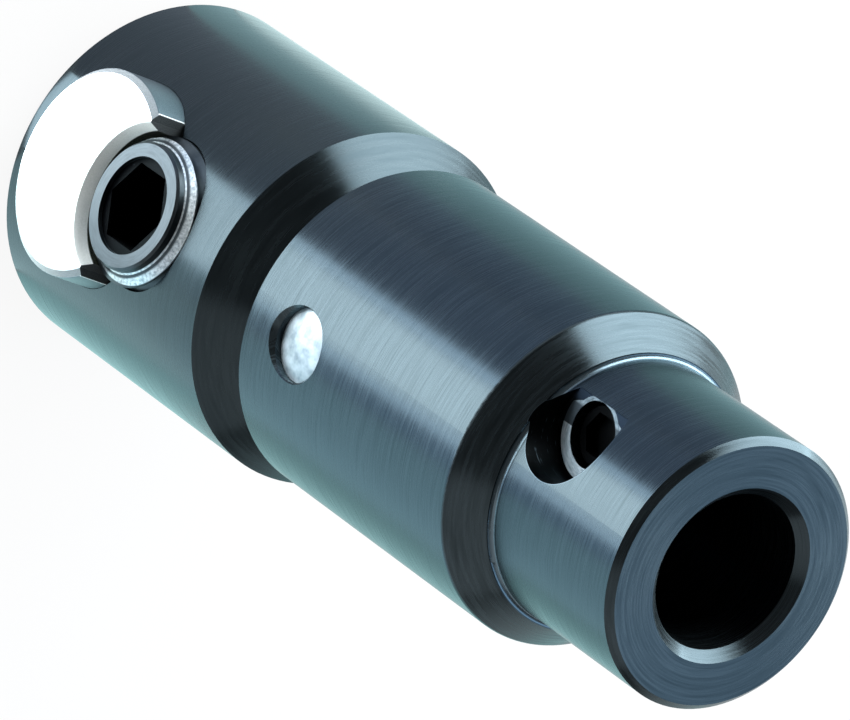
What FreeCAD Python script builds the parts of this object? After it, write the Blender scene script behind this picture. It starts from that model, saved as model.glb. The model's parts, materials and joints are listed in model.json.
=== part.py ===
import FreeCAD, Part
import math
import os

# Two-jaw tapping chuck, millimetres.
# Z is the chuck's axis. The tap end stands on z = 0 and the machine end is at the top.
# The two jaws travel along X.

# Head, a turned block with the jaw bore and the spindle bore drilled across it
head_radius = 19.0
head_edge_break = 0.6
head_cone_height = 3.8
front_wall = 3.2
tap_bore_radius = 6.5
tap_bore_chamfer = 1.0
bore_spacing = 9.25
socket_web = 2.4
socket_depth = 6.65
socket_radius = 10.0
locator_bore_radius = 6.5

# Jaws, two round bars whose inner ends interlock
jaw_radius = 10.95
jaw_edge_chamfer = 0.6
jaw_proud = 1.7
largest_tap_shank = 12.0
smallest_tap_shank = 3.5
vee_depth = 5.0
vee_wall = 1.5
finger_count = 4
jaw_flat_height = 6.2
channel_bevel = 0.55
channel_bevel_length = 1.4

# Clamping spindle, right-hand thread on one half and left-hand on the other
thread_radius = 8.0
spindle_pilot_radius = 6.7
spindle_pilot_length = 0.9
spindle_proud = 1.6
spindle_end_chamfer = 0.25
thread_run_in = 0.8
groove_radius = 5.0
groove_width = 3.2
spindle_key = 8.0
spindle_key_depth = 7.0
key_mouth_radius = 5.1
key_mouth_depth = 0.5

# Locator, the forked plug that keeps the spindle central
flange_thickness = 1.05
flange_radius = 9.6
fork_reach = 3.4

# Wave washer over the locator
wave_washer_thickness = 0.5
wave_washer_inner_radius = 7.3

# Plunger, the part of the head that slides in the sleeve
plunger_radius = 12.45
plunger_bore_radius = 7.0
plunger_rim = 3.7
plunger_edge = 0.5
o_ring_wire_radius = 0.75
o_ring_groove_depth = 1.6
o_ring_side_room = 0.2
o_ring_below_top = 1.1
shoulder_thickness = 2.0
lock_pin_radius = 2.0
lock_pin_depth = 2.4
lock_pin_sunk = 0.4
lock_pin_wall = 0.5

# Length compensation
push_travel = 3.5
pull_travel = 6.0
head_gap = 6.1
end_clearance = 1.0

# Drive sleeve with its neck
sleeve_radius = 17.5
sleeve_length = 37.0
sleeve_edge_break = 0.4
shoulder_cone_height = 3.4
shoulder_flat = 0.1
shoulder_corner_radius = 0.5
shoulder_root_radius = 0.5
neck_radius = 14.0
neck_length = 19.7
neck_chamfer = 0.7
mount_bore_radius = 8.0
mount_bore_chamfer = 1.0
nut_recess_radius = 6.6
nut_recess_depth = 5.8
sleeve_web = 4.0
mouth_rim = 0.6
undercut_depth = 0.3
undercut_width = 1.5

# Drive pins in the sleeve
pin_radius = 3.72
pin_height = 8.6
pin_sunk = 0.8
pin_inner_radius = 7.9
pin_dome = 0.45
pin_edge_radius = 0.25
pin_direction = 8.5
pin_hole_edge_break = 0.15

# Clamp screw in the neck, parallel to the drive pins and beside the chuck's axis.
# Its hole opens into a wider recess with a flat floor, and the screw sits below that floor.
clamp_recess_radius = 5.1
clamp_recess_depth = 2.62
clamp_screw_radius = 3.2
clamp_screw_offset = 7.04
clamp_screw_sunk = 0.9
clamp_screw_height = 14.7
clamp_screw_key = 4.0
clamp_screw_key_depth = 1.2
clamp_screw_chamfer = 0.3
clamp_screw_point_radius = 1.7
clamp_screw_tip_gap = 0.25
clamp_hole_bottom = 3.0

# Tie bolt, its nut and washers
bolt_radius = 3.0
bolt_head_radius = 5.0
bolt_head_height = 3.5
bolt_key = 4.0
bolt_key_depth = 2.0
bolt_end = 0.7
cup_radius = 6.6
cup_thickness = 1.2
cup_collar_radius = 4.2
cup_collar_height = 1.0
washer_radius = 5.5
washer_thickness = 0.8
nut_across_flats = 10.0
nut_height = 3.7
nut_chamfer_angle = 30.0

# Springs on the tie bolt
spring_radius = 5.3
wire_radius = 0.7
spring_turns = 3.5
pull_spring_length = 12.4

# Fits
running_clearance = 0.05
pin_clearance = 0.03
thread_clearance = 0.10
finger_clearance = 0.10
loose_clearance = 0.3

# Levels worked out from the sizes above
jaw_bore_radius = jaw_radius + running_clearance
jaw_level = front_wall + jaw_bore_radius
spindle_level = jaw_level + bore_spacing
spindle_bore_radius = thread_radius + thread_clearance
socket_floor = spindle_level + spindle_bore_radius + socket_web
head_top = socket_floor + socket_depth
head_edge_level = head_top - head_cone_height
cone_top_radius = head_radius - head_cone_height

flange_top = socket_floor + flange_thickness
wave_washer_top = flange_top + wave_washer_thickness
spigot_end = wave_washer_top + running_clearance
spigot_radius = socket_radius - running_clearance
lock_pin_level = spigot_end + lock_pin_wall + lock_pin_radius
lock_pin_end = spigot_radius - lock_pin_depth

sleeve_end = head_edge_level + head_gap
sleeve_top = sleeve_end + sleeve_length
neck_root = sleeve_top + shoulder_cone_height
chuck_height = neck_root + neck_length

pin_level = sleeve_end + pin_height
slot_half_width = pin_radius + running_clearance
slot_bottom = pin_level - push_travel - slot_half_width
slot_top = pin_level + pull_travel + slot_half_width
plunger_top = slot_top + plunger_rim
o_ring_groove_radius = plunger_radius - o_ring_groove_depth
o_ring_groove_top = plunger_top - o_ring_below_top
o_ring_groove_bottom = o_ring_groove_top - 2 * (o_ring_wire_radius + o_ring_side_room)
bore_floor = plunger_top + push_travel + end_clearance
web_top = bore_floor + sleeve_web
mount_floor = web_top + nut_recess_depth

bolt_bottom = flange_top + push_travel + loose_clearance
bolt_head_top = bolt_bottom + bolt_head_height
cup_top = bolt_head_top + cup_thickness
shoulder_bottom = cup_top + pull_spring_length
shoulder_top = shoulder_bottom + shoulder_thickness
seat_bottom = bore_floor - cup_thickness
nut_bottom = web_top + washer_thickness
nut_top = nut_bottom + nut_height

jaw_face = head_radius + jaw_proud
vee_vertex = largest_tap_shank / math.sqrt(2)
jaw_travel = (largest_tap_shank - smallest_tap_shank) / math.sqrt(2)
jaw_tip = vee_vertex - vee_depth
jaw_back = 2 * jaw_travel - jaw_tip + loose_clearance
channel_radius = thread_radius + running_clearance
grip_top = spindle_level - channel_radius - finger_clearance
grip_bottom = jaw_level - math.sqrt(jaw_radius ** 2 - (vee_depth + vee_wall) ** 2)
finger_pitch = (grip_top - grip_bottom) / finger_count
spindle_end = head_radius + spindle_proud

along_x = FreeCAD.Vector(1, 0, 0)
along_z = FreeCAD.Vector(0, 0, 1)


def rod(radius, start, length, direction=along_z):
    """A round bar from a start point along a direction."""
    return Part.makeCylinder(radius, length, start, direction)


def level(height):
    """The point on the chuck's axis at a height."""
    return FreeCAD.Vector(0, 0, height)


def turned(outline):
    """A turned piece from the outline of its half section, as pairs of radius and height."""
    points = [FreeCAD.Vector(radius, 0, height) for radius, height in outline]
    face = Part.Face(Part.makePolygon(points + points[:1]))
    return face.revolve(level(0), along_z, 360)


def ring(outer_radius, inner_radius, bottom, top):
    """A flat ring about the chuck's axis."""
    disc = rod(outer_radius, level(bottom), top - bottom)
    return disc.cut(rod(inner_radius, level(bottom), top - bottom))


def hexagon(across_flats, length):
    """A six-sided bar that stands on the origin along Z."""
    corner = across_flats / math.sqrt(3)
    angles = [math.radians(60 * side) for side in range(6)]
    points = [FreeCAD.Vector(corner * math.cos(angle), corner * math.sin(angle), 0) for angle in angles]
    return Part.Face(Part.makePolygon(points + points[:1])).extrude(FreeCAD.Vector(0, 0, length))


def block(x_range, y_range, z_range):
    """A rectangular block between the limits on each axis."""
    corner = FreeCAD.Vector(x_range[0], y_range[0], z_range[0])
    size = (x_range[1] - x_range[0], y_range[1] - y_range[0], z_range[1] - z_range[0])
    return Part.makeBox(*size, corner)


def aimed(shape, direction, height):
    """A shape drawn along X from the axis, turned about Z and lifted to its height."""
    shape.rotate(level(0), along_z, direction)
    shape.translate(level(height))
    return shape


def laid_along_x(shape, start):
    """A shape drawn along Z, laid along X and moved out to its start."""
    shape.rotate(level(0), FreeCAD.Vector(0, 1, 0), 90)
    shape.translate(FreeCAD.Vector(start, 0, 0))
    return shape


def cross_bore(radius, height):
    """The hole right across the head along X."""
    reach = head_radius + jaw_proud
    return rod(radius, FreeCAD.Vector(-reach, 0, height), 2 * reach, along_x)


def lock_pin_bore():
    """The radial hole for the pin that locks the plunger in the head."""
    bore = rod(lock_pin_radius + pin_clearance, FreeCAD.Vector(lock_pin_end, 0, 0), head_radius, along_x)
    return aimed(bore, 180, lock_pin_level)


def chuck_head():
    outline = [
        (0, 0),
        (head_radius - head_edge_break, 0),
        (head_radius, head_edge_break),
        (head_radius, head_edge_level),
        (cone_top_radius, head_top),
        (0, head_top),
    ]
    head = turned(outline)
    tap_bore = rod(tap_bore_radius, level(0), jaw_level)
    mouth = Part.makeCone(tap_bore_radius + tap_bore_chamfer, tap_bore_radius, tap_bore_chamfer)
    locator_bore = rod(locator_bore_radius, level(spindle_level), socket_floor - spindle_level)
    socket = rod(socket_radius, level(socket_floor), socket_depth)
    for hole in (tap_bore, mouth, locator_bore, socket):
        head = head.cut(hole)
    head = head.cut(cross_bore(jaw_bore_radius, jaw_level))
    head = head.cut(cross_bore(spindle_bore_radius, spindle_level))
    return head.cut(lock_pin_bore())


def jaw_fingers(first):
    """Every second layer of the grip, each a finger with a vee that holds the tap."""
    fingers = []
    for layer in range(first, finger_count, 2):
        bottom = grip_bottom + layer * finger_pitch + finger_clearance
        top = grip_bottom + (layer + 1) * finger_pitch - finger_clearance
        fingers.append(block((jaw_tip, jaw_back), (-jaw_radius, jaw_radius), (bottom, top)))
    half_width = vee_depth + loose_clearance
    corners = [
        FreeCAD.Vector(vee_vertex, 0, 0),
        FreeCAD.Vector(vee_vertex - half_width, half_width, 0),
        FreeCAD.Vector(vee_vertex - half_width, -half_width, 0),
    ]
    vee = Part.Face(Part.makePolygon(corners + corners[:1])).extrude(level(grip_top))
    bar = rod(jaw_radius, FreeCAD.Vector(jaw_tip, 0, jaw_level), jaw_back - jaw_tip, along_x)
    return [finger.common(bar).cut(vee) for finger in fingers]


def jaw(first_finger):
    """A jaw on the +X side."""
    length = jaw_face - jaw_back
    bar = rod(jaw_radius, FreeCAD.Vector(jaw_back, 0, jaw_level), length, along_x)
    rim = [edge for edge in bar.Edges if abs(edge.CenterOfMass.x - jaw_face) < running_clearance]
    bar = bar.makeChamfer(jaw_edge_chamfer, rim)
    for finger in jaw_fingers(first_finger):
        bar = bar.fuse(finger)
    flat_level = jaw_level + jaw_flat_height
    above_flat = block((jaw_tip, jaw_face), (-jaw_radius, jaw_radius), (flat_level, jaw_level + jaw_radius))
    channel = rod(channel_radius, FreeCAD.Vector(jaw_tip, 0, spindle_level), jaw_face - jaw_tip, along_x)
    bevel_start = FreeCAD.Vector(jaw_face - channel_bevel_length, 0, spindle_level)
    bevel_radius = channel_radius + channel_bevel
    bevel = Part.makeCone(channel_radius, bevel_radius, channel_bevel_length, bevel_start, along_x)
    return bar.cut(above_flat).cut(channel).cut(bevel).removeSplitter()


def jaw_right():
    return jaw(0)


def jaw_left():
    shape = jaw(1)
    shape.rotate(level(0), along_z, 180)
    return shape


def clamping_spindle():
    shoulder = spindle_end - spindle_pilot_length
    half = [
        (0, 0),
        (groove_radius, 0),
        (groove_radius, groove_width / 2),
        (thread_radius, groove_width / 2),
        (thread_radius, shoulder - thread_run_in),
        (spindle_pilot_radius, shoulder),
        (spindle_pilot_radius, spindle_end - spindle_end_chamfer),
        (spindle_pilot_radius - spindle_end_chamfer, spindle_end),
        (0, spindle_end),
    ]
    outline = [(radius, -height) for radius, height in reversed(half[1:])] + half[1:]
    spindle = turned(outline)
    key = hexagon(spindle_key, spindle_key_depth)
    key.translate(level(spindle_end - spindle_key_depth))
    mouth = rod(key_mouth_radius, level(spindle_end - key_mouth_depth), key_mouth_depth)
    for tool in (key, mouth):
        far_tool = tool.copy()
        far_tool.rotate(level(0), along_x, 180)
        spindle = spindle.cut(tool).cut(far_tool)
    laid_along_x(spindle, 0)
    spindle.translate(level(spindle_level))
    return spindle


def spindle_locator():
    plug_radius = locator_bore_radius - running_clearance
    plug_bottom = spindle_level + thread_radius + loose_clearance
    plug = rod(plug_radius, level(plug_bottom), socket_floor - plug_bottom)
    flange = rod(flange_radius, level(socket_floor), flange_thickness)
    half_thickness = groove_width / 2 - running_clearance
    fork_levels = (spindle_level - fork_reach, plug_bottom)
    fork = block((-half_thickness, half_thickness), (-plug_radius, plug_radius), fork_levels)
    fork = fork.common(rod(plug_radius, level(fork_levels[0]), fork_levels[1] - fork_levels[0]))
    saddle_radius = groove_radius + running_clearance
    slot = rod(saddle_radius, FreeCAD.Vector(-half_thickness, 0, spindle_level), 2 * half_thickness, along_x)
    opening = block(
        (-half_thickness, half_thickness),
        (-saddle_radius, saddle_radius),
        (spindle_level - fork_reach, spindle_level),
    )
    fork = fork.cut(slot).cut(opening)
    return flange.fuse(plug).fuse(fork).removeSplitter()


def wave_washer():
    return ring(flange_radius, wave_washer_inner_radius, flange_top, wave_washer_top)


def pin_slot(direction):
    """One slot through the plunger's wall for a drive pin."""
    reach = plunger_radius - plunger_bore_radius + loose_clearance
    start = plunger_bore_radius - loose_clearance
    straight = slot_top - slot_bottom - 2 * slot_half_width
    low = slot_bottom + slot_half_width
    slot = rod(slot_half_width, FreeCAD.Vector(start, 0, low), reach + loose_clearance, along_x)
    high = rod(slot_half_width, FreeCAD.Vector(start, 0, low + straight), reach + loose_clearance, along_x)
    middle = block(
        (start, start + reach + loose_clearance),
        (-slot_half_width, slot_half_width),
        (low, low + straight),
    )
    return aimed(slot.fuse(high).fuse(middle), direction, 0)


def float_plunger():
    hole_radius = bolt_radius + loose_clearance
    outline = [
        (plunger_bore_radius, spigot_end),
        (spigot_radius, spigot_end),
        (spigot_radius, head_top),
        (plunger_radius, head_top),
        (plunger_radius, plunger_top - plunger_edge),
        (plunger_radius - plunger_edge, plunger_top),
        (plunger_bore_radius, plunger_top),
        (plunger_bore_radius, shoulder_top),
        (hole_radius, shoulder_top),
        (hole_radius, shoulder_bottom),
        (plunger_bore_radius, shoulder_bottom),
    ]
    plunger = turned(outline)
    for direction in (pin_direction, pin_direction + 180):
        plunger = plunger.cut(pin_slot(direction))
    plunger = plunger.cut(ring(plunger_radius, o_ring_groove_radius, o_ring_groove_bottom, o_ring_groove_top))
    return plunger.cut(lock_pin_bore())


def plunger_o_ring():
    middle = (o_ring_groove_bottom + o_ring_groove_top) / 2
    return Part.makeTorus(plunger_radius - o_ring_wire_radius, o_ring_wire_radius, level(middle))


def plunger_lock_pin():
    surface = head_radius - (lock_pin_level + lock_pin_radius - head_edge_level)
    start = lock_pin_end + running_clearance
    length = surface - lock_pin_sunk - start
    pin = rod(lock_pin_radius, FreeCAD.Vector(start, 0, 0), length, along_x)
    return aimed(pin, 180, lock_pin_level)


def sleeve_outline():
    bore_radius = plunger_radius + running_clearance
    mouth_radius = sleeve_radius - mouth_rim
    mouth_height = mouth_radius - bore_radius
    return [
        (mouth_radius, sleeve_end),
        (sleeve_radius - sleeve_edge_break, sleeve_end),
        (sleeve_radius, sleeve_end + sleeve_edge_break),
        (sleeve_radius, sleeve_top),
        (neck_radius + shoulder_root_radius + shoulder_flat, neck_root),
        (neck_radius, neck_root),
        (neck_radius, chuck_height - neck_chamfer),
        (neck_radius - neck_chamfer, chuck_height),
        (mount_bore_radius + mount_bore_chamfer, chuck_height),
        (mount_bore_radius, chuck_height - mount_bore_chamfer),
        (mount_bore_radius, mount_floor),
        (nut_recess_radius, mount_floor),
        (nut_recess_radius, web_top),
        (bolt_radius + running_clearance, web_top),
        (bolt_radius + running_clearance, bore_floor),
        (bore_radius + undercut_depth, bore_floor),
        (bore_radius + undercut_depth, bore_floor - undercut_width),
        (bore_radius, bore_floor - undercut_width - undercut_depth),
        (bore_radius, sleeve_end + mouth_height),
    ]


def circle_edges(shape, radius, height):
    """The round edges of a turned piece at one radius and height."""
    return [
        edge
        for edge in shape.Edges
        if abs(edge.CenterOfMass.z - height) < pin_clearance
        and hasattr(edge.Curve, "Radius")
        and abs(edge.Curve.Radius - radius) < pin_clearance
    ]


def clamp_reach(surface_radius, from_screw_axis):
    """How far out a round surface lies, along the clamp screw, on the side towards the chuck's axis."""
    return math.sqrt(surface_radius ** 2 - (clamp_screw_offset - from_screw_axis) ** 2)


def clamp_recess_floor():
    """How far out the floor of the clamp screw's recess lies, along the screw."""
    return clamp_reach(neck_radius, 0) - clamp_recess_depth


def beside_axis(shape):
    """A shape drawn along X, moved to the clamp screw's axis in the neck."""
    shape.translate(FreeCAD.Vector(0, -clamp_screw_offset, 0))
    return aimed(shape, pin_direction, chuck_height - clamp_screw_height)


def edge_break(radius, surface_radius, size):
    """The cone that breaks the sharp edge of a radial hole, drawn along X."""
    edge = math.sqrt(surface_radius ** 2 - radius ** 2)
    depth = surface_radius - edge + size
    start = FreeCAD.Vector(edge - size, 0, 0)
    return Part.makeCone(radius, radius + depth, depth, start, along_x)


def drive_sleeve():
    sleeve = turned(sleeve_outline())
    sleeve = sleeve.makeFillet(shoulder_corner_radius, circle_edges(sleeve, sleeve_radius, sleeve_top))
    sleeve = sleeve.makeFillet(shoulder_root_radius, circle_edges(sleeve, neck_radius, neck_root))
    pin_hole_radius = pin_radius + pin_clearance
    for direction in (pin_direction, pin_direction + 180):
        hole = rod(pin_hole_radius, FreeCAD.Vector(pin_inner_radius, 0, 0), sleeve_radius, along_x)
        sleeve = sleeve.cut(aimed(hole, direction, pin_level))
        edge = edge_break(pin_hole_radius, sleeve_radius, pin_hole_edge_break)
        sleeve = sleeve.cut(aimed(edge, direction, pin_level))
    recess = rod(clamp_recess_radius, FreeCAD.Vector(clamp_recess_floor(), 0, 0), neck_radius, along_x)
    hole_radius = clamp_screw_radius + thread_clearance
    hole = rod(hole_radius, FreeCAD.Vector(clamp_hole_bottom, 0, 0), neck_radius, along_x)
    return sleeve.cut(beside_axis(recess)).cut(beside_axis(hole))


def drive_pin(direction):
    """A cross pin with a domed outer end and rounded rims."""
    outer_end = sleeve_radius - pin_sunk
    pin = rod(pin_radius, FreeCAD.Vector(pin_inner_radius, 0, 0), outer_end - pin_inner_radius, along_x)
    dome_radius = (pin_radius ** 2 + pin_dome ** 2) / (2 * pin_dome)
    pin = pin.common(Part.makeSphere(dome_radius, FreeCAD.Vector(outer_end - dome_radius, 0, 0)))
    rims = [edge for edge in pin.Edges if edge.Closed and hasattr(edge.Curve, "Radius")]
    return aimed(pin.makeFillet(pin_edge_radius, rims), direction, pin_level)


def shank_clamp_screw():
    face = clamp_recess_floor() - clamp_screw_sunk
    body_end = clamp_reach(mount_bore_radius, clamp_screw_radius) + clamp_screw_tip_gap
    tip = clamp_reach(mount_bore_radius, clamp_screw_point_radius) + clamp_screw_tip_gap
    outline = [
        (0, tip),
        (clamp_screw_point_radius, tip),
        (clamp_screw_radius, body_end),
        (clamp_screw_radius, face - clamp_screw_chamfer),
        (clamp_screw_radius - clamp_screw_chamfer, face),
        (0, face),
    ]
    screw = turned(outline)
    key = hexagon(clamp_screw_key, clamp_screw_key_depth)
    key.translate(level(face - clamp_screw_key_depth))
    return beside_axis(laid_along_x(screw.cut(key), 0))


def tie_bolt():
    outline = [
        (0, bolt_bottom),
        (bolt_head_radius, bolt_bottom),
        (bolt_head_radius, bolt_head_top),
        (bolt_radius, bolt_head_top),
        (bolt_radius, nut_top),
        (bolt_radius - bolt_end, nut_top + bolt_end),
        (0, nut_top + bolt_end),
    ]
    key = hexagon(bolt_key, bolt_key_depth)
    key.translate(level(bolt_bottom))
    return turned(outline).cut(key)


def spring_cup(bottom, collar_level):
    """A washer with a collar that keeps the end of a spring central."""
    cup = ring(cup_radius, bolt_radius + running_clearance, bottom, bottom + cup_thickness)
    collar_top = collar_level + cup_collar_height
    return cup.fuse(ring(cup_collar_radius, bolt_radius + running_clearance, collar_level, collar_top))


def bolt_spring_cup():
    return spring_cup(bolt_head_top, cup_top)


def push_spring_cup():
    return spring_cup(seat_bottom, seat_bottom - cup_collar_height)


def lock_washer():
    return ring(washer_radius, bolt_radius + running_clearance, web_top, nut_bottom)


def lock_nut():
    nut = hexagon(nut_across_flats, nut_height)
    corner = nut_across_flats / math.sqrt(3)
    drop = (corner - nut_across_flats / 2) * math.tan(math.radians(nut_chamfer_angle))
    envelope = [
        (0, 0),
        (nut_across_flats / 2, 0),
        (corner, drop),
        (corner, nut_height - drop),
        (nut_across_flats / 2, nut_height),
        (0, nut_height),
    ]
    nut = nut.common(turned(envelope)).cut(rod(bolt_radius + running_clearance, level(0), nut_height))
    nut.translate(level(nut_bottom))
    return nut


def spring(bottom, top):
    """A coil spring between two levels, its ends ground flat."""
    height = top - bottom
    helix = Part.makeHelix(height / spring_turns, height, spring_radius)
    start = FreeCAD.Vector(spring_radius, 0, 0)
    section = Part.Wire(Part.makeCircle(wire_radius, start, FreeCAD.Vector(0, 1, 0)))
    coil = Part.Wire(helix).makePipeShell([section], True, True)
    slab = rod(spring_radius * 2, level(0), height)
    coil = coil.common(slab)
    coil.translate(level(bottom))
    return coil


def write(name, shape):
    solids = shape.Solids
    piece = solids[0] if len(solids) == 1 else Part.makeCompound(solids)
    piece.exportStep(os.path.join("parts", name + ".step"))


os.makedirs("parts", exist_ok=True)
write("chuck_head", chuck_head())
write("jaw_right", jaw_right())
write("jaw_left", jaw_left())
write("clamping_spindle", clamping_spindle())
write("spindle_locator", spindle_locator())
write("locator_wave_washer", wave_washer())
write("float_plunger", float_plunger())
write("plunger_o_ring", plunger_o_ring())
write("plunger_lock_pin", plunger_lock_pin())
write("drive_sleeve", drive_sleeve())
write("drive_pin_front", drive_pin(pin_direction))
write("drive_pin_rear", drive_pin(pin_direction + 180))
write("shank_clamp_screw", shank_clamp_screw())
write("tie_bolt", tie_bolt())
write("bolt_spring_cup", bolt_spring_cup())
write("pull_spring", spring(cup_top, shoulder_bottom))
write("push_spring", spring(shoulder_top, seat_bottom))
write("push_spring_cup", push_spring_cup())
write("lock_washer", lock_washer())
write("lock_nut", lock_nut())
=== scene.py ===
import json
import math

import bpy
from mathutils import Matrix, Vector

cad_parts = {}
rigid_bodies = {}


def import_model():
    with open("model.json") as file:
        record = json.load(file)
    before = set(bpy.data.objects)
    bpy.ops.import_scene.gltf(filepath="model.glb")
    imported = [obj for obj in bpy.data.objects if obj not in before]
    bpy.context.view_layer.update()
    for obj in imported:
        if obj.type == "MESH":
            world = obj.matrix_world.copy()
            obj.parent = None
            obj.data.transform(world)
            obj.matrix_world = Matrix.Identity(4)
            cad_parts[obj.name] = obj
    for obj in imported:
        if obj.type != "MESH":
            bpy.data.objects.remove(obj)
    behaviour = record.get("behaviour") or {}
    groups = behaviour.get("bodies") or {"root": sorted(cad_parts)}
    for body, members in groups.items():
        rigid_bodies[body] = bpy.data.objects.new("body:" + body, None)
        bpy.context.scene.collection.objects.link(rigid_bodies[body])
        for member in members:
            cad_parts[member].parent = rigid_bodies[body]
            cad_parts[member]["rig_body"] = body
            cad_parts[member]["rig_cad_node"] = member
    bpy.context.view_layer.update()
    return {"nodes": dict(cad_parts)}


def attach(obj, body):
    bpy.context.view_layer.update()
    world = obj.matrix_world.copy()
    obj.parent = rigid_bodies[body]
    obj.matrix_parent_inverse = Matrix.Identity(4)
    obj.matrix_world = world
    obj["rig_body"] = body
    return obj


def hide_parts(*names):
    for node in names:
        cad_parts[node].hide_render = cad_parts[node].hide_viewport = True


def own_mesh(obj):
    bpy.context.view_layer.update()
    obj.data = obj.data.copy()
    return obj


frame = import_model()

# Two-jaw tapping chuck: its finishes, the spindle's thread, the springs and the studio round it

nodes = frame["nodes"]

MM = 0.001

# Sizes of the solids that the finishes and the thread follow, in metres
SLEEVE_RADIUS = 17.5 * MM
NECK_RADIUS = 14 * MM
NECK_ROOT = 83.3 * MM
NECK_ROOT_SIZE = 0.5 * MM
SPINDLE_LEVEL = 23.45 * MM
SPINDLE_THREAD_RADIUS = 8 * MM
SPINDLE_PITCH = 2 * MM
SPINDLE_THREAD_DEPTH = 1.2 * MM
SPINDLE_THREAD_FLANK = math.radians(30)
SPINDLE_THREAD_START = 1.6 * MM
SPINDLE_THREAD_END = 19.9 * MM
SPINDLE_SOCKET_RADIUS = 5.08 * MM
SPINDLE_PILOT_RADIUS = 6.7 * MM
SPINDLE_RUN_IN = 18.95 * MM
JAW_LEVEL = 14.2 * MM
JAW_RADIUS = 10.95 * MM
JAW_FACE = 20.7 * MM
JAW_FLAT = 20.4 * MM
JAW_RIM = 0.62 * MM
CHANNEL_RADIUS = 8.05 * MM
CHANNEL_BEVEL_RADIUS = 8.75 * MM
CHANNEL_BEVEL_DEPTH = 1.45 * MM
RECESS_LEVEL = 88.3 * MM
RECESS_OFFSET = 7.04 * MM
RECESS_RADIUS = 5.1 * MM
RECESS_FLOOR = 9.48 * MM
SHOULDER_BOTTOM = 55.9 * MM
SHOULDER_TOP = 57.9 * MM
PIN_DIRECTION = math.radians(8.5)
RECESS_AXIS = Vector((math.cos(PIN_DIRECTION), math.sin(PIN_DIRECTION), 0))
RECESS_SIDE = Vector((math.sin(PIN_DIRECTION), -math.cos(PIN_DIRECTION), 0))
RECESS_START = RECESS_SIDE * RECESS_OFFSET + Vector((0, 0, RECESS_LEVEL))

# Across the recess, from its axis outwards: from where to where a painted shadow darkens its floor, for
# the shade that the recess's wall casts.
# The painted shadow ends where the recess's wall gets low.
PAINTED_SHADOW_START = -0.42 * MM
RECESS_WALL_END = 2.1 * MM
RECESS_WALL_FADE = 0.3 * MM

# Zones of the finishes: how far they start or end from the surface that they follow, or their width
RING_MARGIN = 0.48 * MM
OPEN_RING_MARGIN = 1.35 * MM
RECESS_FLOOR_MARGIN = 0.05 * MM
RECESS_WALL_MARGIN = 0.03 * MM
RECESS_EDGE_WIDTH = 0.05 * MM
NECK_ROOT_MARGIN = 0.03 * MM
JAW_SIDE_MARGIN = 0.05 * MM
JAW_FLAT_MARGIN = 0.02 * MM
JAW_LINE = 0.16 * MM
CHANNEL_MARGIN = 0.02 * MM
FIRST_EDGE_START = 0.04 * MM
FIRST_EDGE_END = 0.2 * MM
CREST_START = 0.5 * MM
CREST_FADE = 0.08 * MM
ZONE_FADE = 0.02 * MM

# Camera, as seen from the middle of the chuck's axis
CAMERA_AIM = 49.97 * MM
CAMERA_DISTANCE = 795.1 * MM
CAMERA_AZIMUTH = math.radians(-11.81)
CAMERA_ELEVATION = math.radians(48.36)
CAMERA_ROLL = math.radians(125.19)
CAMERA_LENS = 340.9
CAMERA_SENSOR = 36


def linear(code):
    """An sRGB hex colour as linear red, green, blue and alpha."""
    values = [int(code[place:place + 2], 16) / 255 for place in (1, 3, 5)]
    return [v / 12.92 if v <= 0.04045 else ((v + 0.055) / 1.055) ** 2.4 for v in values] + [1]


def add_node(tree, kind, settings=None, links=None):
    """One shader node with its settings, and with links or values for its sockets."""
    node = tree.nodes.new(kind)
    for name, value in (settings or {}).items():
        setattr(node, name, value)
    for name, value in (links or {}).items():
        if isinstance(value, bpy.types.NodeSocket):
            tree.links.new(value, node.inputs[name])
        else:
            node.inputs[name].default_value = value
    return node


def new_material(name):
    material = bpy.data.materials.new(name)
    material.use_nodes = True
    material.node_tree.nodes.clear()
    return material, material.node_tree


def finish_material(tree, sockets):
    """Joins the finished surface to the material's output."""
    surface = add_node(tree, "ShaderNodeBsdfPrincipled", None, sockets)
    add_node(tree, "ShaderNodeOutputMaterial", None, {"Surface": surface.outputs[0]})


def object_place(tree):
    return add_node(tree, "ShaderNodeTexCoord").outputs["Object"]


def from_axis(tree, place, through, axis):
    """How far a place lies from an axis, how far along it, and the direction round it."""
    offset = add_node(
        tree, "ShaderNodeVectorMath", {"operation": "SUBTRACT"}, {0: place, 1: tuple(through)},
    ).outputs[0]
    along = add_node(
        tree, "ShaderNodeVectorMath", {"operation": "DOT_PRODUCT"}, {0: offset, 1: tuple(axis)},
    ).outputs["Value"]
    across = add_node(
        tree, "ShaderNodeVectorMath", {"operation": "CROSS_PRODUCT"}, {0: offset, 1: tuple(axis)},
    ).outputs[0]
    distance = add_node(
        tree, "ShaderNodeVectorMath", {"operation": "LENGTH"}, {0: across},
    ).outputs["Value"]
    around = add_node(
        tree, "ShaderNodeVectorMath", {"operation": "NORMALIZE"}, {0: across},
    ).outputs[0]
    return distance, along, around


def ramp(tree, value, first, last, low=0.0, high=1.0):
    """A value that goes from low to high while another goes from first to last."""
    node = add_node(
        tree, "ShaderNodeMapRange", None,
        {"Value": value, "From Min": first, "From Max": last, "To Min": low, "To Max": high},
    )
    return node.outputs[0]


def beyond(tree, value, limit, softness=ZONE_FADE):
    """1 where a value is over a limit and 0 where it is under it."""
    return ramp(tree, value, limit - softness, limit + softness)


def within(tree, value, limit, softness=ZONE_FADE):
    """1 where a value is under a limit and 0 where it is over it."""
    return ramp(tree, value, limit - softness, limit + softness, 1.0, 0.0)


def without(tree, zone):
    """The share of the surface that a zone leaves."""
    return ramp(tree, zone, 0, 1, 1.0, 0.0)


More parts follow.
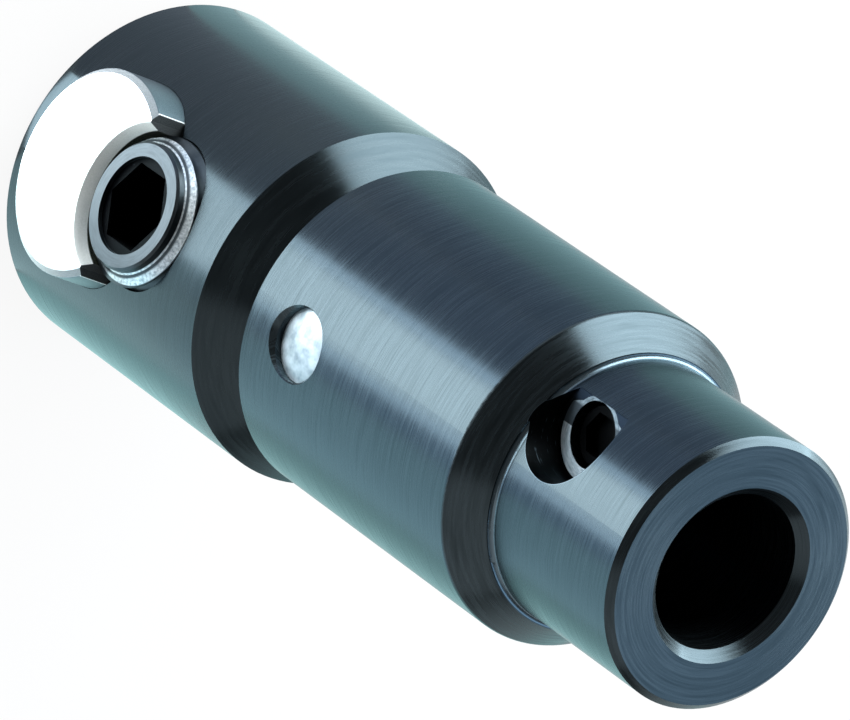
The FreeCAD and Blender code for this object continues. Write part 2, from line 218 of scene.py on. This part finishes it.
def product(tree, *factors):
    """Numbers multiplied together, which for zones is where all of them meet."""
    result = factors[0]
    for factor in factors[1:]:
        node = add_node(tree, "ShaderNodeMath", {"operation": "MULTIPLY"}, {0: result, 1: factor})
        result = node.outputs[0]
    return result


def between(tree, value, lowest, highest):
    """1 where a value lies between two limits and 0 where it doesn't."""
    return product(tree, beyond(tree, value, lowest), within(tree, value, highest))


# The places of a mix node's two inputs and of its result, for numbers and for colours
MIX_SOCKETS = {"FLOAT": (2, 3, 0), "RGBA": (6, 7, 2)}


def blend(tree, share, first, second, kind="RGBA"):
    """A blend of two colours or numbers by a share between 0 and 1."""
    node = add_node(tree, "ShaderNodeMix", {"data_type": kind})
    first_place, second_place, result_place = MIX_SOCKETS[kind]
    tree.links.new(share, node.inputs[0])
    for socket_place, value in ((first_place, first), (second_place, second)):
        if isinstance(value, bpy.types.NodeSocket):
            tree.links.new(value, node.inputs[socket_place])
        else:
            node.inputs[socket_place].default_value = value
    return node.outputs[result_place]


def noise(tree, place, sizes, detail=3.0):
    """A cloudy pattern whose features are about as wide as the sizes along X, Y and Z."""
    scales = tuple(1 / size for size in sizes)
    stretched = add_node(
        tree, "ShaderNodeVectorMath", {"operation": "MULTIPLY"}, {0: place, 1: scales},
    ).outputs[0]
    node = add_node(
        tree, "ShaderNodeTexNoise", None,
        {"Vector": stretched, "Scale": 1, "Detail": detail, "Roughness": 0.6},
    )
    return node.outputs["Fac"]


# Most of a noise pattern lies between these values
NOISE_LOW = 0.3
NOISE_HIGH = 0.7


def spread(tree, pattern, low=0.0, high=1.0):
    """A noise pattern stretched to go all the way from low to high."""
    return ramp(tree, pattern, NOISE_LOW, NOISE_HIGH, low, high)


def raised(tree, height, depth):
    """The surface's normal over a pattern that stands up by a depth."""
    links = {"Strength": 1.0, "Distance": depth, "Height": height}
    return add_node(tree, "ShaderNodeBump", None, links).outputs[0]


# Cutting lines are drawn 0.1 to 0.15 mm wide, where real ones are about 0.05 mm, so that they show
MARK_WIDTH = 0.14 * MM
MARK_LENGTH = 7 * MM
# How much a cutting line moves when the radius changes, so that end faces get rings
FACE_SHARE = 0.6


def turning_marks(tree, level, along_x, mark_width, mark_length):
    """Fine cutting lines that run round a turned surface: long round the axis, narrow across."""
    parts = add_node(tree, "ShaderNodeSeparateXYZ", None, {0: object_place(tree)}).outputs
    height = add_node(
        tree, "ShaderNodeMath", {"operation": "SUBTRACT"}, {0: parts[2], 1: level},
    ).outputs[0]
    first, second, along = parts[0], parts[1], height
    if along_x:
        first, second, along = height, parts[1], parts[0]
    across = add_node(tree, "ShaderNodeCombineXYZ", None, {0: first, 1: second}).outputs[0]
    radius = add_node(
        tree, "ShaderNodeVectorMath", {"operation": "LENGTH"}, {0: across},
    ).outputs["Value"]
    profile = add_node(
        tree, "ShaderNodeMath", {"operation": "MULTIPLY_ADD"}, {0: radius, 1: FACE_SHARE, 2: along},
    ).outputs[0]
    unrolled = add_node(
        tree, "ShaderNodeCombineXYZ", None, {0: first, 1: second, 2: profile},
    ).outputs[0]
    return noise(tree, unrolled, (mark_length, mark_length, mark_width))


def turned_sockets(tree, dark, light, roughness, depth, level=0.0, along_x=False,
                   mark_width=MARK_WIDTH, mark_length=MARK_LENGTH, anisotropy=0.65, edge_tint="#edf5f7"):
    """The shader's sockets for turned steel, with the lines that the cutting tool left."""
    marks = turning_marks(tree, level, along_x, mark_width, mark_length)
    tangent = add_node(
        tree, "ShaderNodeTangent",
        {"direction_type": "RADIAL", "axis": "X" if along_x else "Z"},
    ).outputs[0]
    return {
        "Base Color": blend(tree, spread(tree, marks), linear(dark), linear(light)),
        "Metallic": 1,
        "Roughness": spread(tree, marks, *roughness),
        "Specular Tint": linear(edge_tint),
        "Anisotropic": anisotropy,
        "Anisotropic Rotation": 0.25,
        "Tangent": tangent,
        "Normal": raised(tree, marks, depth),
    }


def turned_steel(name, *finish, **details):
    material, tree = new_material(name)
    finish_material(tree, turned_sockets(tree, *finish, **details))
    return material


# A cloud in a plain finish is this many grains wide, and the grain stands up by this share of itself
CLOUD_GRAINS = 12
GRAIN_DEPTH = 1 / 100


def plain_finish(name, colour, second, metallic, roughness, grain):
    """A finish with a fine even grain and slight clouding between two colours."""
    material, tree = new_material(name)
    place = object_place(tree)
    fine = noise(tree, place, (grain,) * 3, detail=4.0)
    cloud = noise(tree, place, (CLOUD_GRAINS * grain,) * 3, detail=2.0)
    finish_material(tree, {
        "Base Color": blend(tree, spread(tree, cloud), linear(colour), linear(second)),
        "Metallic": metallic,
        "Roughness": spread(tree, fine, *roughness),
        "Normal": raised(tree, fine, grain * GRAIN_DEPTH),
    })
    return material


# How wide the streaks in the recess and the specks in the spindle's socket are
RECESS_STREAK = 0.25 * MM
SOCKET_SPECKLE = 0.3 * MM
# Grain and clouding of the ground jaws
JAW_GRAIN = 0.12 * MM
JAW_CLOUD = 2.5 * MM


def sleeve_steel():
    """Blackened turned steel, dull blue-black. The neck's recess is painted nearly black as painted
    shade, and its faced floor shows as a light ring with a painted shadow of the wall on part of it. The
    recess's mouth and the neck's root carry lighter painted highlights."""
    material, tree = new_material("black_oxide_steel_sleeve")
    sockets = turned_sockets(tree, "#363f43", "#475156", (0.2, 0.32), 0.0035 * MM)
    distance, along, around = from_axis(tree, object_place(tree), RECESS_START, RECESS_AXIS)
    over_floor = beyond(tree, along, RECESS_FLOOR - RECESS_FLOOR_MARGIN)
    sideways = from_axis(tree, object_place(tree), RECESS_START, RECESS_SIDE)[1]
    walled = within(tree, sideways, RECESS_WALL_END, RECESS_WALL_FADE)
    painted_shadow = product(tree, beyond(tree, sideways, PAINTED_SHADOW_START), walled)
    recess_edge = RECESS_RADIUS + RECESS_WALL_MARGIN
    in_recess = product(tree, within(tree, distance, recess_edge), over_floor)
    on_floor = product(tree, in_recess, within(tree, along, RECESS_FLOOR + RECESS_FLOOR_MARGIN))
    ring_radius = ramp(
        tree, walled, 0, 1, RECESS_RADIUS - OPEN_RING_MARGIN, RECESS_RADIUS - RING_MARGIN,
    )
    inside_ring = add_node(
        tree, "ShaderNodeMath", {"operation": "LESS_THAN"}, {0: distance, 1: ring_radius},
    ).outputs[0]
    on_ring = product(tree, on_floor, inside_ring)
    on_edge = product(
        tree, between(tree, distance, recess_edge, recess_edge + RECESS_EDGE_WIDTH), over_floor,
    )
    spun = add_node(
        tree, "ShaderNodeVectorMath", {"operation": "MULTIPLY"}, {0: around, 1: (MM, MM, MM)},
    ).outputs[0]
    depths = add_node(tree, "ShaderNodeCombineXYZ", None, {0: distance, 1: along}).outputs[0]
    rings = add_node(
        tree, "ShaderNodeVectorMath", {"operation": "ADD"}, {0: spun, 1: depths},
    ).outputs[0]
    streaks = noise(tree, rings, (RECESS_STREAK,) * 3, detail=4.0)
    # Painted shade: the recess's wall nearly black, with lighter streaks along its rings
    painted_wall_shade = blend(tree, ramp(tree, streaks, 0.62, 0.74), linear("#0c0e0f"), linear("#465158"))
    texture = ramp(tree, streaks, 0.35, 0.6)
    faced = blend(tree, texture, linear("#a9c0cc"), linear("#dcebf3"))
    # Painted shadow: the faced ring is darker where the recess's wall shades it
    faced = blend(tree, painted_shadow, faced, linear("#39444c"))
    skimmed = blend(tree, texture, linear("#4c5960"), linear("#8c9ca5"))
    from_middle, level = from_axis(tree, object_place(tree), (0, 0, 0), (0, 0, 1))[:2]
    on_root = product(
        tree, between(tree, level, NECK_ROOT - NECK_ROOT_MARGIN, NECK_ROOT + NECK_ROOT_SIZE),
        between(tree, from_middle, NECK_RADIUS, NECK_RADIUS + NECK_ROOT_SIZE),
    )
    # Painted highlights: a lighter line round the recess's mouth, and a lighter neck root
    colour = blend(tree, on_edge, sockets["Base Color"], linear("#56626a"))
    colour = blend(tree, on_root, colour, linear("#65757e"))
    # Inside the recess: the painted shade on its wall, and dark navy on its open side
    colour = blend(tree, in_recess, colour, blend(tree, walled, linear("#232c37"), painted_wall_shade))
    sockets["Base Color"] = blend(tree, on_ring, colour, blend(tree, walled, skimmed, faced))
    sockets["Metallic"] = ramp(tree, on_ring, 0, 1, 1.0, 0.25)
    sockets["Roughness"] = blend(tree, in_recess, sockets["Roughness"], 0.45, "FLOAT")
    finish_material(tree, sockets)
    return material


def jaw_steel():
    """Hardened jaws: faces polished until they mirror white, rims and sides ground grey, painted
    highlights as a bright line along the edge of the flat and as a near-white bevel, the flat itself
    dull, and the thread channel painted dark as the shade in the gap round the spindle."""
    material, tree = new_material("ground_polished_jaw_steel")
    place = object_place(tree)
    fine = noise(tree, place, (JAW_GRAIN,) * 3, detail=4.0)
    cloud = noise(tree, place, (JAW_CLOUD,) * 3, detail=2.0)
    grain = ramp(tree, fine, 0.35, 0.65)
    from_jaw = from_axis(tree, place, (0, 0, JAW_LEVEL), (1, 0, 0))[0]
    from_spindle, along = from_axis(tree, place, (0, 0, SPINDLE_LEVEL), (1, 0, 0))[:2]
    outward = add_node(tree, "ShaderNodeMath", {"operation": "ABSOLUTE"}, {0: along}).outputs[0]
    height = add_node(tree, "ShaderNodeSeparateXYZ", None, {0: place}).outputs[2]
    near_face = beyond(tree, outward, JAW_FACE - CHANNEL_BEVEL_DEPTH)
    on_side = beyond(tree, from_jaw, JAW_RADIUS - JAW_SIDE_MARGIN)
    on_line = product(tree, on_side, beyond(tree, height, JAW_FLAT - JAW_LINE))
    on_rim = product(
        tree, near_face, beyond(tree, from_jaw, JAW_RADIUS - JAW_RIM), without(tree, on_side),
    )
    on_flat = beyond(tree, height, JAW_FLAT - JAW_FLAT_MARGIN)
    in_channel = within(tree, from_spindle, CHANNEL_BEVEL_RADIUS)
    on_bevel = product(
        tree, near_face, in_channel, beyond(tree, from_spindle, CHANNEL_RADIUS + CHANNEL_MARGIN),
        without(tree, on_flat),
    )
    polished = blend(tree, spread(tree, cloud), linear("#eceef0"), linear("#d6dade"))
    colour = blend(tree, on_rim, polished, blend(tree, grain, linear("#868b8d"), linear("#999ea0")))
    colour = blend(tree, on_side, colour, blend(tree, grain, linear("#56636a"), linear("#6b7980")))
    # Painted highlight: a bright line along the edge of the flat
    colour = blend(tree, on_line, colour, linear("#eff3f4"))
    # Painted shade: the thread channel dark, for the shade in the gap round the spindle
    colour = blend(tree, in_channel, colour, blend(tree, grain, linear("#16171a"), linear("#5b5a48")))
    # Painted highlight: the thread channel's bevel near white
    colour = blend(tree, on_bevel, colour, blend(tree, grain, linear("#e3e5de"), linear("#f4f4f0")))
    colour = blend(tree, on_flat, colour, blend(tree, grain, linear("#3f4345"), linear("#565b5d")))
    roughness = spread(tree, fine, 0.16, 0.24)
    roughness = blend(tree, on_side, roughness, 0.4, "FLOAT")
    roughness = blend(tree, in_channel, roughness, 0.55, "FLOAT")
    # The painted highlights on the bevel and on the flat's edge, the flat and the rim look the same from
    # every side, so they are shaded as matt, and the rest as metal
    matt_zones = (on_bevel, on_line, on_flat, on_rim)
    finish_material(tree, {
        "Base Color": colour,
        "Metallic": product(tree, *(without(tree, zone) for zone in matt_zones)),
        "Roughness": roughness,
        "Normal": raised(tree, fine, 0.003 * MM),
    })
    return material


def spindle_steel():
    """Blackened spindle: thread crests worn bright, and a socket painted black as painted shade, with
    lighter specks in it as painted glints.
    """
    material, tree = new_material("worn_black_spindle_steel")
    place = object_place(tree)
    sockets = turned_sockets(
        tree, "#393e41", "#474d51", (0.28, 0.4), 0.003 * MM,
        level=SPINDLE_LEVEL, along_x=True, mark_width=0.12 * MM, mark_length=1.5 * MM, anisotropy=0.3,
    )
    distance, along = from_axis(tree, place, (0, 0, SPINDLE_LEVEL), (1, 0, 0))[:2]
    on_first_edge = between(
        tree, distance, SPINDLE_PILOT_RADIUS + FIRST_EDGE_START, SPINDLE_PILOT_RADIUS + FIRST_EDGE_END,
    )
    outward = add_node(tree, "ShaderNodeMath", {"operation": "ABSOLUTE"}, {0: along}).outputs[0]
    on_crest = product(
        tree, beyond(tree, distance, SPINDLE_PILOT_RADIUS + CREST_START, CREST_FADE),
        beyond(tree, outward, SPINDLE_RUN_IN),
    )
    in_socket = within(tree, distance, SPINDLE_SOCKET_RADIUS)
    speckle = noise(tree, place, (SOCKET_SPECKLE,) * 3, detail=4.0)
    worn = blend(tree, ramp(tree, speckle, 0.35, 0.6), linear("#8b9499"), linear("#c9cfd1"))
    # Painted shade and glints: the socket black, with lighter specks
    black = blend(tree, ramp(tree, speckle, 0.62, 0.75), linear("#020203"), linear("#23272a"))
    colour = blend(tree, on_first_edge, sockets["Base Color"], worn)
    colour = blend(tree, on_crest, colour, worn)
    sockets["Base Color"] = blend(tree, in_socket, colour, black)
    sockets["Roughness"] = blend(tree, in_socket, sockets["Roughness"], 0.6, "FLOAT")
    finish_material(tree, sockets)
    return material


# Turned steel, blackened in a hot salt bath and oiled: nearly black, with a dull blue sheen
HEAD_STEEL = turned_steel("black_oxide_steel_head", "#343d41", "#3f484c", (0.22, 0.3), 0.003 * MM)
SLEEVE_STEEL = sleeve_steel()
# Hardened and ground plunger, dark and smoother than the turned pieces
PLUNGER_STEEL = turned_steel(
    "ground_dark_plunger_steel", "#33383b", "#42484c", (0.2, 0.28), 0.002 * MM, mark_width=0.1 * MM,
)
JAW_STEEL = jaw_steel()
SPINDLE_STEEL = spindle_steel()
# Ground dowel steel: bright, with slight marks from handling
PIN_STEEL = plain_finish("ground_dowel_steel", "#b9c2c6", "#818d93", 0.6, (0.38, 0.48), 0.1 * MM)
# Blackened clamp screw, painted nearly black as painted shade, so that it stays dark in its hole
SCREW_STEEL = plain_finish("black_screw_steel_painted_shade", "#040506", "#090a0b", 1, (0.45, 0.6), 0.12 * MM)
# Blackened fasteners: dark grey, with a low even shine
BOLT_STEEL = plain_finish("black_fastener_steel", "#3c4348", "#4a5359", 1, (0.25, 0.35), 0.12 * MM)
# Machined washers, cups and locator, left bright: light grey, with fine turned lines
BRIGHT_STEEL = turned_steel(
    "machined_bright_steel", "#b4b9bc", "#c6cacc", (0.25, 0.35), 0.002 * MM,
    mark_width=0.15 * MM, edge_tint="#ffffff",
)
# Oil-tempered spring wire: a middle grey, drawn smooth and even
SPRING_STEEL = plain_finish("oil_tempered_spring_wire", "#6c6f73", "#7e8286", 1, (0.3, 0.4), 0.2 * MM)
# Nitrile rubber, moulded: black, with no shine
RUBBER = plain_finish("moulded_nitrile_rubber", "#17181a", "#1f2022", 0, (0.55, 0.7), 0.1 * MM)

FINISHES = {
    "chuck_head": HEAD_STEEL,
    "drive_sleeve": SLEEVE_STEEL,
    "float_plunger": PLUNGER_STEEL,
    "jaw_right": JAW_STEEL,
    "jaw_left": JAW_STEEL,
    "clamping_spindle": SPINDLE_STEEL,
    "drive_pin_front": PIN_STEEL,
    "drive_pin_rear": PIN_STEEL,
    "plunger_lock_pin": PIN_STEEL,
    "shank_clamp_screw": SCREW_STEEL,
    "tie_bolt": BOLT_STEEL,
    "lock_nut": BOLT_STEEL,
    "lock_washer": BRIGHT_STEEL,
    "bolt_spring_cup": BRIGHT_STEEL,
    "push_spring_cup": BRIGHT_STEEL,
    "spindle_locator": BRIGHT_STEEL,
    "locator_wave_washer": SPRING_STEEL,
    "push_spring": SPRING_STEEL,
    "pull_spring": SPRING_STEEL,
    "plunger_o_ring": RUBBER,
}


def deselect():
    bpy.ops.object.select_all(action="DESELECT")


def choose(piece):
    deselect()
    piece.select_set(True)
    bpy.context.view_layer.objects.active = piece


def paint(piece, material):
    piece.data.materials.clear()
    piece.data.materials.append(material)


for node_name, material in FINISHES.items():
    paint(nodes[node_name], material)


def apply_modifiers(piece):
    choose(piece)
    for modifier in list(piece.modifiers):
        bpy.ops.object.modifier_apply(modifier=modifier.name)


THREAD_STEPS = 64


def thread_tool(name, inner, outer, inner_half, outer_half, pitch, turns):
    """A thread along Z whose section is a trapezoid between two radii."""
    deselect()
    middle = (inner + outer) / 2
    bpy.ops.mesh.primitive_plane_add(size=1, location=(middle, 0, 0), rotation=(math.pi / 2, 0, 0))
    tool = bpy.context.active_object
    tool.name = name
    tool.scale = (outer - inner, 2 * outer_half, 1)
    bpy.ops.object.transform_apply(location=True, rotation=True, scale=True)
    bpy.ops.object.mode_set(mode="EDIT")
    bpy.ops.mesh.select_all(action="SELECT")
    bpy.ops.mesh.delete(type="ONLY_FACE")
    bpy.ops.mesh.select_all(action="DESELECT")
    bpy.ops.object.mode_set(mode="OBJECT")
    for vertex in tool.data.vertices:
        vertex.select = vertex.co.x < middle
    bpy.ops.object.mode_set(mode="EDIT")
    bpy.ops.transform.resize(value=(1, 1, inner_half / outer_half), center_override=(inner, 0, 0))
    bpy.ops.object.mode_set(mode="OBJECT")
    winding = tool.modifiers.new("winding", "SCREW")
    winding.axis = "Z"
    winding.screw_offset = pitch
    winding.iterations = turns
    winding.steps = THREAD_STEPS
    winding.render_steps = THREAD_STEPS
    apply_modifiers(tool)
    bpy.ops.object.mode_set(mode="EDIT")
    bpy.ops.mesh.select_all(action="SELECT")
    bpy.ops.mesh.fill_holes(sides=4)
    bpy.ops.mesh.normals_make_consistent(inside=False)
    bpy.ops.object.mode_set(mode="OBJECT")
    return tool


def place_along(piece, direction, start):
    """Lays a piece drawn along Z along a direction, from its start."""
    turn = Vector(direction).to_track_quat("Z", "Y").to_matrix().to_4x4()
    piece.data.transform(Matrix.Translation(start) @ turn)


def cut(piece, tool):
    """Takes a tool's shape out of a piece. The tool is then used up."""
    boolean = piece.modifiers.new("cut", "BOOLEAN")
    boolean.operation = "DIFFERENCE"
    boolean.solver = "EXACT"
    boolean.object = tool
    apply_modifiers(piece)
    bpy.data.objects.remove(tool)


# Corners of facets that lie nearer than this are one corner
JOIN_DISTANCE = 0.0005 * MM
SMOOTH_ANGLE = math.radians(30)


def copy_of(node_name, new_name):
    """A copy of a solid that isn't tied to its node or body, with its facets joined."""
    choose(nodes[node_name])
    bpy.ops.object.duplicate()
    piece = bpy.context.active_object
    piece.name = new_name
    piece.data.name = new_name
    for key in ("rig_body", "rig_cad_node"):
        del piece[key]
    piece.parent = None
    piece.modifiers.clear()
    bpy.ops.mesh.customdata_custom_splitnormals_clear()
    bpy.ops.object.mode_set(mode="EDIT")
    bpy.ops.mesh.select_all(action="SELECT")
    bpy.ops.mesh.remove_doubles(threshold=JOIN_DISTANCE)
    bpy.ops.object.mode_set(mode="OBJECT")
    return piece


def finish_shading(piece):
    choose(piece)
    bpy.ops.object.shade_smooth_by_angle(angle=SMOOTH_ANGLE)


# Clamping spindle with its two threads, right-hand towards +X and left-hand towards -X.
# The groove's tool reaches out of the thread by a margin, so that it cuts right through the surface.
THREAD_TOOL_MARGIN = 0.15 * MM
THREAD_ROOT = SPINDLE_THREAD_RADIUS - SPINDLE_THREAD_DEPTH
THREAD_ROOT_HALF = 0.18 * MM
THREAD_OUTSIDE = SPINDLE_THREAD_RADIUS + THREAD_TOOL_MARGIN
THREAD_OUTSIDE_HALF = THREAD_ROOT_HALF + (THREAD_OUTSIDE - THREAD_ROOT) * math.tan(SPINDLE_THREAD_FLANK)
thread_turns = math.ceil((SPINDLE_THREAD_END - SPINDLE_THREAD_START) / SPINDLE_PITCH)
spindle = copy_of("clamping_spindle", "clamping_spindle_threaded")
for side in (1, -1):
    groove = thread_tool(
        "thread_groove", THREAD_ROOT, THREAD_OUTSIDE, THREAD_ROOT_HALF, THREAD_OUTSIDE_HALF,
        side * SPINDLE_PITCH, thread_turns,
    )
    if side < 0:
        groove.data.transform(Matrix.Translation((0, 0, thread_turns * SPINDLE_PITCH)))
    place_along(groove, (side, 0, 0), (side * SPINDLE_THREAD_START, 0, SPINDLE_LEVEL))
    cut(spindle, groove)
finish_shading(spindle)
paint(spindle, SPINDLE_STEEL)
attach(spindle, "spindle")
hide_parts("clamping_spindle")

# Springs whose one end stays on the plunger's shoulder, copied with smooth shading and carried by the
# head
for spring_name, fixed_end in (("push_spring", SHOULDER_TOP), ("pull_spring", SHOULDER_BOTTOM)):
    coil = copy_of(spring_name, spring_name + "_coil")
    finish_shading(coil)
    paint(coil, SPRING_STEEL)
    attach(coil, "head")
    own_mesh(coil)
    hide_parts(spring_name)


def direction_of(azimuth, elevation):
    """The unit vector towards an azimuth and elevation."""
    level_part = math.cos(elevation)
    return Vector((math.cos(azimuth) * level_part, math.sin(azimuth) * level_part, math.sin(elevation)))


# Camera at the photograph's angle
back = direction_of(CAMERA_AZIMUTH, CAMERA_ELEVATION)
level_right = Vector((0, 0, 1)).cross(back).normalized()
level_up = back.cross(level_right)
right = level_right * math.cos(CAMERA_ROLL) + level_up * math.sin(CAMERA_ROLL)
up = level_up * math.cos(CAMERA_ROLL) - level_right * math.sin(CAMERA_ROLL)
camera_data = bpy.data.cameras.new("camera")
camera_data.lens = CAMERA_LENS
camera_data.sensor_width = CAMERA_SENSOR
camera_data.clip_start = 0.01
camera_data.clip_end = 50
camera = bpy.data.objects.new("camera", camera_data)
place = Vector((0, 0, CAMERA_AIM)) + back * CAMERA_DISTANCE
camera.matrix_world = Matrix.Translation(place) @ Matrix((right, up, back)).transposed().to_4x4()
bpy.context.scene.collection.objects.link(camera)
bpy.context.scene.camera = camera


def softbox(name, azimuth, elevation, distance, width, height, brightness, colour="#ffffff"):
    """A lit panel that faces the chuck. Brightness 1 is as bright as white paper."""
    data = bpy.data.lights.new(name, "AREA")
    data.shape = "RECTANGLE"
    data.size = width
    data.size_y = height
    data.energy = brightness * math.pi * width * height
    data.color = linear(colour)[:3]
    lamp = bpy.data.objects.new(name, data)
    towards = direction_of(CAMERA_AZIMUTH + math.radians(azimuth), math.radians(elevation))
    lamp.matrix_world = Matrix.Translation(Vector((0, 0, CAMERA_AIM)) + towards * distance) @ (
        towards.to_track_quat("Z", "Y").to_matrix().to_4x4()
    )
    bpy.context.scene.collection.objects.link(lamp)


# Each softbox has its azimuth from the camera, elevation and distance, its width and height,
# and its brightness, in degrees and metres
softbox("side_softbox", -99, 17, 0.6, 0.76, 0.36, 9.4, "#f1fbff")
softbox("rear_side_softbox", -155, 17, 0.6, 0.6, 0.36, 7.2, "#f1fbff")
softbox("fill_softbox", 80, 25, 0.8, 1.0, 0.7, 0.5)
softbox("back_softbox", 180, 52, 0.9, 0.8, 0.6, 1.65, "#c2e2ff")


# How much of the paper's look is an even white. The rest takes light and shadow.
FLOOR_WHITE_SHARE = 0.92


def floor_material():
    """White paper that shows white to the camera and in the metal, and keeps a soft shadow."""
    material, tree = new_material("white_paper_floor")
    rays = add_node(tree, "ShaderNodeLightPath").outputs
    seen = add_node(
        tree, "ShaderNodeMath", {"operation": "MAXIMUM"},
        {0: rays["Is Camera Ray"], 1: rays["Is Glossy Ray"]},
    )
    seen = add_node(
        tree, "ShaderNodeMath", {"operation": "MAXIMUM"},
        {0: seen.outputs[0], 1: rays["Is Transmission Ray"]},
    )
    share = product(tree, seen.outputs[0], FLOOR_WHITE_SHARE)
    paper = add_node(tree, "ShaderNodeBsdfDiffuse", None, {"Color": linear("#f4f4f4")})
    glow = add_node(tree, "ShaderNodeEmission", None, {"Color": linear("#ffffff"), "Strength": 1})
    surface = add_node(
        tree, "ShaderNodeMixShader", None, {0: share, 1: paper.outputs[0], 2: glow.outputs[0]},
    )
    add_node(tree, "ShaderNodeOutputMaterial", None, {"Surface": surface.outputs[0]})
    return material


def panel_material(name, brightness, colour):
    """Light that leaves a panel on its upper side only. From below the panel is clear, so that the
    floor under it is lit as it is elsewhere."""
    material, tree = new_material(name)
    backfacing = add_node(tree, "ShaderNodeNewGeometry").outputs["Backfacing"]
    glow = add_node(tree, "ShaderNodeEmission", None, {"Color": linear(colour), "Strength": brightness})
    clear = add_node(tree, "ShaderNodeBsdfTransparent")
    surface = add_node(
        tree, "ShaderNodeMixShader", None, {0: backfacing, 1: glow.outputs[0], 2: clear.outputs[0]},
    )
    add_node(tree, "ShaderNodeOutputMaterial", None, {"Surface": surface.outputs[0]})
    return material


def flat_sheet(name, corners, material):
    """A flat sheet of the stage through four corners."""
    deselect()
    bpy.ops.mesh.primitive_plane_add()
    sheet = bpy.context.active_object
    sheet.name = name
    for vertex, corner in zip(sheet.data.vertices, corners):
        vertex.co = corner
    paint(sheet, material)
    return sheet


# The panels lie this high over the solid's lowest face
PANEL_LEVEL = 0.3 * MM


def floor_point(azimuth, distance):
    """Where a ray that the sleeve's wall mirrors to an azimuth is, a distance from the wall."""
    wall = direction_of(CAMERA_AZIMUTH + math.radians(azimuth / 2), 0) * SLEEVE_RADIUS
    away = direction_of(CAMERA_AZIMUTH + math.radians(azimuth), 0) * distance
    return wall + away + Vector((0, 0, PANEL_LEVEL))


def floor_panel(name, first, last, reach, brightness, colour):
    """A panel that lies before the chuck, outside the picture, and shows in its round sides."""
    corners = [floor_point(azimuth, distance) for distance in reach for azimuth in (last, first)]
    panel = flat_sheet(name, corners, panel_material(name, brightness, colour))
    panel.visible_camera = False
    panel.visible_shadow = False


# The floor reaches this far to each side, and lies just under the chuck so that it cuts nothing
FLOOR_HALF = 6
FLOOR_LEVEL = -0.05 * MM
floor_ends = (-FLOOR_HALF, FLOOR_HALF)
flat_sheet("floor", [(x, y, FLOOR_LEVEL) for y in floor_ends for x in floor_ends], floor_material())

# The near panels show in the head, the far ones in the sleeve and its neck. Each has the azimuths
# from the camera between which the sleeve's wall would show it, in degrees, the distances from the
# wall between which it lies, and its brightness.
NEAR = (2.5 * MM, 36 * MM)
FAR = (37 * MM, 260 * MM)
floor_panel("head_bright_panel", -18, 33, NEAR, 8.6, "#f0faff")
floor_panel("head_half_bright_panel", 34, 110, NEAR, 2.25, "#e4fdff")
floor_panel("head_far_side_panel", 111, 175, NEAR, 1.6, "#d0ffff")
floor_panel("head_dim_panel", -100, -19, NEAR, 1.0, "#dadeeb")
floor_panel("head_near_side_panel", -130, -101, NEAR, 1.4, "#d8fbff")
floor_panel("head_side_panel", -175, -131, NEAR, 2.0, "#e8ffff")
floor_panel("bright_panel", -9, 27, FAR, 7.5, "#f4fcff")
floor_panel("bright_edge_panel", -18, -10, FAR, 6.2, "#dceeff")
floor_panel("second_bright_edge_panel", 28, 35, FAR, 6.2, "#dceeff")
floor_panel("stripe_panel", 36, 49, FAR, 1.85, "#c3e1ff")
floor_panel("half_bright_panel", 50, 110, FAR, 2.15, "#cff3ff")
floor_panel("far_side_panel", 111, 165, FAR, 1.25, "#d0ffff")
floor_panel("dim_panel", -60, -19, FAR, 1.0, "#cbdfff")
floor_panel("dark_panel", -100, -61, FAR, 0.8, "#cbdfff")
floor_panel("near_side_panel", -160, -101, FAR, 1.0, "#cdfaff")

# Faint light from all round, as from a white room
ROOM_BRIGHTNESS = 0.14
world = bpy.data.worlds.new("studio")
world.use_nodes = True
world.node_tree.nodes["Background"].inputs["Color"].default_value = linear("#ffffff")
world.node_tree.nodes["Background"].inputs["Strength"].default_value = ROOM_BRIGHTNESS
bpy.context.scene.world = world
bpy.context.scene.view_settings.view_transform = "Standard"
